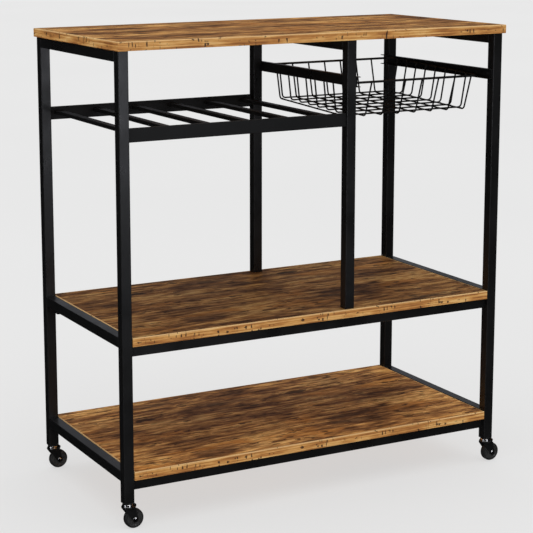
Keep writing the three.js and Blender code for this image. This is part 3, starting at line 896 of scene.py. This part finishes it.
def caster_stem(corner):
    """Threaded stem above a polished ball race, and the rivet head under the fork."""
    low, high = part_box(f"caster_stem_{corner}")
    x, y = middle(low.x, high.x), middle(low.y, high.y)
    foot = FORK_TOP + JOINT_GAP
    neck = low_of_plug(corner) - JOINT_GAP
    head_top = FORK_TOP - FORK_SHEET - JOINT_GAP
    solid = Solid()
    profile = [
        (3.6, low.z / MM), (5.0, low.z / MM + 0.6), (5.0, head_top / MM), (4.0, head_top / MM),
        (4.0, foot / MM), (9.4, foot / MM), (9.7, foot / MM + 0.15),
        (10.3, foot / MM + 0.6), (10.7, foot / MM + 1.3), (10.6, foot / MM + 2.1),
        (10.2, foot / MM + 2.5), (10.2, foot / MM + 2.9), (10.65, foot / MM + 3.3), (10.65, foot / MM + 4.2),
        (10.2, foot / MM + 5.4), (9.2, neck / MM - 0.6), (8.2, neck / MM), (4.0, neck / MM),
    ]
    thread_start = neck / MM + 1.0
    turns = int((high.z / MM - 1.0 - thread_start) / 1.25)
    for turn in range(turns):
        base = thread_start + turn * 1.25
        profile += [(4.0, base), (3.55, base + 0.5), (3.55, base + 0.7), (4.0, base + 1.15)]
    profile += [(4.0, high.z / MM - 0.9), (3.2, high.z / MM)]
    solid.loft(add_lathe(solid, [(r * MM, h * MM) for r, h in profile], "z", (x, y, 0), 40))
    solid.piece(f"caster_stem_{corner}_race", chrome, "frame", "chrome", (f"caster_stem_{corner}",), sharp=38)


def low_of_plug(corner):
    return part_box(f"leg_plug_{corner}")[0].z


def caster_fork(corner):
    """Dished head with a sloping rim, and an ear with softened edges down each side of the wheel."""
    stem_low, stem_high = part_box(f"caster_stem_{corner}")
    wheel_low, wheel_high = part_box(f"caster_wheel_{corner}")
    x, y = middle(stem_low.x, stem_high.x), middle(stem_low.y, stem_high.y)
    axle_x, axle_z = middle(wheel_low.x, wheel_high.x) - x, middle(wheel_low.z, wheel_high.z)
    bottom = FORK_TOP - FORK_SHEET
    rim = FORK_TOP + DISH_RISE
    bore = 4.35 * MM

    def sheared(u, v, w):
        reach = math.hypot(u, v)
        lift = max(0.0, min(1.0, (reach - DISH_FLOOR) / (DISH_RIM - DISH_FLOOR)))
        hole = 1 - max(0.0, min(1.0, (reach - bore) / (DISH_FLOOR - bore)))
        return u + DISH_SHIFT * (1 - hole), v, w + DISH_SLOPE * u * lift

    fork = Solid()
    mm = 1 / MM
    profile = [
        (bore * mm, bottom * mm), (12.4, bottom * mm), (12.75, bottom * mm + 0.15),
        (14.25, rim * mm - 1.3), (14.4, rim * mm - 0.8), (14.3, rim * mm - 0.2), (13.95, rim * mm),
        (13.55, rim * mm - 0.1), (13.3, rim * mm - 0.4), (12.6, FORK_TOP * mm + 0.35),
        (12.0, FORK_TOP * mm), (bore * mm, FORK_TOP * mm),
    ]
    loops = add_lathe(fork, [(r * MM, h * MM) for r, h in profile], "z", (x, y, 0), 48, sheared, 0.3)
    fork.loft(loops, closed=True)

    def ear_outline():
        ear_top = FORK_TOP - 1 * MM
        points = [(EAR_RIGHT, ear_top), (EAR_LEFT, ear_top), (EAR_LEFT, FORK_TOP - 4 * MM)]
        for k in range(17):
            angle = math.pi + k / 16 * math.pi
            points.append((axle_x + BOSS * math.cos(angle), axle_z + BOSS * math.sin(angle)))
        points.append((EAR_RIGHT, FORK_TOP - 9 * MM))
        return points

    outline = ear_outline()
    for side in (-1, 1):
        near = side * FORK_INSIDE / 2
        loops = []
        for depth, inset in ((0, 0.35), (0.1, 0.1), (0.35, 0), (1.85, 0), (2.1, 0.1), (2.2, 0.35)):
            ring = inset_outline(outline, inset * MM)
            w = y + near + side * depth * MM
            loops.append(fork.loop([(x + u, w, v) for u, v in ring], 0.0 if inset else 0.6))
        fork.loft(loops)
        boss_loops = []
        for radius, depth in ((5.4, 2.0), (5.2, 2.55), (4.9, 2.7), (4.4, 2.7)):
            ring = []
            for k in range(32):
                angle = k / 32 * math.tau
                ring.append((x + axle_x + radius * MM * math.cos(angle), y + near + side * depth * MM,
                             axle_z + radius * MM * math.sin(angle)))
            boss_loops.append(fork.loop(ring, 0.4))
        fork.loft(boss_loops)
    fork.piece(f"caster_fork_{corner}_body", fork_black, f"swivel_{corner}", "fork_black",
               (f"caster_fork_{corner}",), sharp=35)


def inset_outline(points, inset):
    """The outline moved inwards by inset, corner by corner."""
    count = len(points)
    moved = []
    area = sum(points[i][0] * points[(i + 1) % count][1] - points[(i + 1) % count][0] * points[i][1]
               for i in range(count))
    turn = 1 if area > 0 else -1
    for i, (u, v) in enumerate(points):
        before = Vector((u - points[i - 1][0], v - points[i - 1][1])).normalized()
        after = Vector((points[(i + 1) % count][0] - u, points[(i + 1) % count][1] - v)).normalized()
        n1 = Vector((-before.y, before.x)) * turn
        n2 = Vector((-after.y, after.x)) * turn
        bisector = (n1 + n2).normalized()
        step = inset / max(0.5, bisector.dot(n1))
        moved.append((u + bisector.x * step, v + bisector.y * step))
    return moved


def caster_axle(corner):
    low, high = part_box(f"caster_axle_{corner}")
    centre = (middle(low.x, high.x), middle(low.z, high.z), middle(low.y, high.y))
    half = (high.y - low.y) / 2 / MM
    inner = half - 1.6
    solid = Solid()
    profile = [(0.5, -half), (1.9, -half + 0.12), (3.1, -half + 0.5), (3.9, -half + 1.0), (4.2, -inner),
               (2.5, -inner), (2.5, inner), (4.2, inner), (3.9, half - 1.0), (3.1, half - 0.5),
               (1.9, half - 0.12), (0.5, half)]
    solid.loft(add_lathe(solid, [(r * MM, h * MM) for r, h in profile], "y", centre, 32))
    solid.piece(f"caster_axle_{corner}_rivet", chrome, f"swivel_{corner}", "chrome",
                (f"caster_axle_{corner}",), sharp=50)


def caster_wheel(corner):
    """Gloss hub disc with rings and a pressed-on tread of a softer black."""
    low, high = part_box(f"caster_wheel_{corner}")
    centre = (middle(low.x, high.x), middle(low.z, high.z), middle(low.y, high.y))
    radius = (high.z - low.z) / 2 / MM
    half = 7.0
    disc_half = [
        (2.8, half + 0.7), (5.6, half + 0.7), (6.0, half + 0.45), (6.3, half - 0.2), (6.9, half - 1.3),
        (7.6, half - 1.6), (11.4, half - 1.35), (12.2, half - 0.9), (12.8, half - 0.2), (13.4, half),
        (14.6, half), (15.2, half - 0.25), (15.5, half - 0.8),
    ]
    disc = [(r, -h) for r, h in disc_half] + [(r, h) for r, h in reversed(disc_half)]
    core = Solid()
    core.loft(add_lathe(core, [(r * MM, h * MM) for r, h in disc], "y", centre, 64), closed=True)
    core.piece(f"caster_wheel_{corner}_disc", wheel_black, f"wheel_{corner}", "wheel_black",
               (f"caster_wheel_{corner}",), sharp=50)
    tread_half = [(15.45, half - 1.0), (15.7, half - 0.5), (16.3, half - 0.35), (17.2, half - 0.8),
                  (18.2, half - 1.6), (18.8, half - 2.8), (radius, half - 4.2), (radius, 0.35),
                  (radius - 0.12, 0.0)]
    tread = [(r, -h) for r, h in tread_half] + [(r, h) for r, h in reversed(tread_half[:-1])]
    tyre = Solid()
    tyre.loft(add_lathe(tyre, [(r * MM, h * MM) for r, h in tread], "y", centre, 72), closed=True)
    tyre.piece(f"caster_wheel_{corner}_tread", tread_black, f"wheel_{corner}", "wheel_black", sharp=60)


for corner in CORNERS:
    leg_plug(corner)
    caster_stem(corner)
    caster_fork(corner)
    caster_axle(corner)
    caster_wheel(corner)


# ---- Stage ----

FLOOR_REACH = 40.0
FLOOR_GLOW = 0.60
FLOOR_DARK = (0.205, 0.205, 0.205, 1.0)
FLOOR_LIGHT = (0.215, 0.215, 0.215, 1.0)


def stage():
    """Plain pale floor."""
    mesh = bpy.data.meshes.new("floor")
    shape = bmesh.new()
    bmesh.ops.create_grid(shape, x_segments=8, y_segments=8, size=FLOOR_REACH)
    shape.to_mesh(mesh)
    shape.free()
    floor = bpy.data.objects.new("floor", mesh)
    bpy.context.scene.collection.objects.link(floor)
    g = Graph("floor_paper", roughness=0.9, specular_ior_level=0.0, emission_strength=FLOOR_GLOW,
              emission_color=(1.0, 1.0, 1.0, 1.0))
    tone = g.noise(g.coordinates(), 0.6, 1.0)
    g.colour(g.ramp(tone, ((0.3, FLOOR_DARK), (0.7, FLOOR_LIGHT))))
    mesh.materials.append(g.material)
    return floor


floor = stage()


def area_light(name, place, target, size, power):
    data = bpy.data.lights.new(name, "AREA")
    data.shape = "RECTANGLE"
    data.size, data.size_y = size
    data.energy = power
    light = bpy.data.objects.new(name, data)
    bpy.context.scene.collection.objects.link(light)
    light.location = place
    light.rotation_mode = "QUATERNION"
    light.rotation_quaternion = (Vector(target) - Vector(place)).to_track_quat("-Z", "Y")
    return light


def sun(name, direction, strength, angle):
    data = bpy.data.lights.new(name, "SUN")
    data.energy = strength
    data.angle = math.radians(angle)
    light = bpy.data.objects.new(name, data)
    bpy.context.scene.collection.objects.link(light)
    light.rotation_mode = "QUATERNION"
    light.rotation_quaternion = Vector(direction).to_track_quat("-Z", "Y")
    return light


WORLD_STRENGTH = 0.55
SUN_STRENGTH = 1.42
SUN_DIRECTION = (-0.02, 0.12, -1.0)
SUN_ANGLE = 75
# Soft boxes that only show as reflections: name, place, target, size and power
SOFT_BOXES = (
    ("front_box", (0.62, -3.3, 0.85), (-0.4, -0.2, 0.7), (0.8, 1.3), 15.0),
    ("left_box", (-3.4, -0.9, 1.0), (0.0, 0.0, 0.6), (0.9, 1.8), 14.0),
    ("back_box", (1.6, 4.2, 1.3), (0.0, 0.0, 0.7), (4.0, 2.0), 8.0),
)
SOFT_BOX_TINT = (0.90, 0.92, 1.0)

world = bpy.data.worlds.new("studio")
bpy.context.scene.world = world
world.use_nodes = True
world.node_tree.nodes["Background"].inputs["Color"].default_value = (1.0, 1.0, 1.0, 1.0)
world.node_tree.nodes["Background"].inputs["Strength"].default_value = WORLD_STRENGTH
world.cycles_visibility.glossy = False
floor.visible_glossy = False
sun("key_sun", SUN_DIRECTION, SUN_STRENGTH, SUN_ANGLE)
for name, place, target, size, power in SOFT_BOXES:
    light = area_light(name, place, target, size, power)
    light.visible_diffuse = False
    light.data.color = SOFT_BOX_TINT


# ---- Camera ----

AZIMUTH, ELEVATION, ROLL = -26.638, 10.090, -0.385
PLACE = (-1.5807, -2.8170, 1.1350)
SENSOR_WIDTH = 36.0
LENS = 108.89
SHIFT_X, SHIFT_Y = 0.1248, -0.1248
data = bpy.data.cameras.new("camera")
data.sensor_width = SENSOR_WIDTH
data.lens = LENS
data.shift_x, data.shift_y = SHIFT_X, SHIFT_Y
camera = bpy.data.objects.new("camera", data)
bpy.context.scene.collection.objects.link(camera)
azimuth, elevation, roll = map(math.radians, (AZIMUTH, ELEVATION, ROLL))
back = Vector((math.sin(azimuth) * math.cos(elevation), -math.cos(azimuth) * math.cos(elevation),
               math.sin(elevation)))
right = Vector((math.cos(azimuth), math.sin(azimuth), 0))
up = back.cross(right)
camera_right = right * math.cos(roll) + up * math.sin(roll)
camera_up = up * math.cos(roll) - right * math.sin(roll)
basis = Matrix((camera_right, camera_up, back)).transposed().to_4x4()
camera.matrix_world = Matrix.Translation(PLACE) @ basis
bpy.context.scene.camera = camera

scene = bpy.context.scene
scene.view_settings.view_transform = "Standard"
